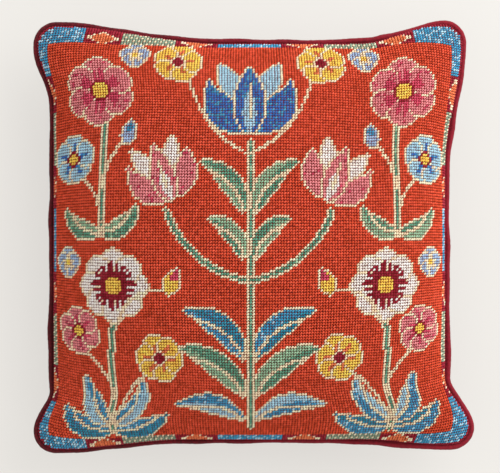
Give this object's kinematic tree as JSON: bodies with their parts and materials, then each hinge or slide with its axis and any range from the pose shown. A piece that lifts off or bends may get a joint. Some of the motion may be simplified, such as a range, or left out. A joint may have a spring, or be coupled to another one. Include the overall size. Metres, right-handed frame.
{
  "type": "needlepoint cushion",
  "caption": "Square scatter cushion lying on its back: a crowned needlepoint canvas front, corded piping sewn all round its drawn-in sides, and a plain cloth back.",
  "frame": {"origin": "on the floor under the middle of the cushion's outline, at the flat of its back", "axes": "+X to the right across the stitched face, +Y up the face, +Z out of the face"},
  "size_m": [0.4072, 0.4008, 0.13],
  "materials": {
    "wool_stitching": "matte tapestry wool in diagonal stitches on canvas",
    "back_cloth": "matte plain woven cotton",
    "piping_cloth": "soft cotton over cord"
  },
  "bodies": {
    "root": {"needlepoint_panel": "wool_stitching", "cushion": "back_cloth", "piping": "piping_cloth"}
  },
  "joints": []
}
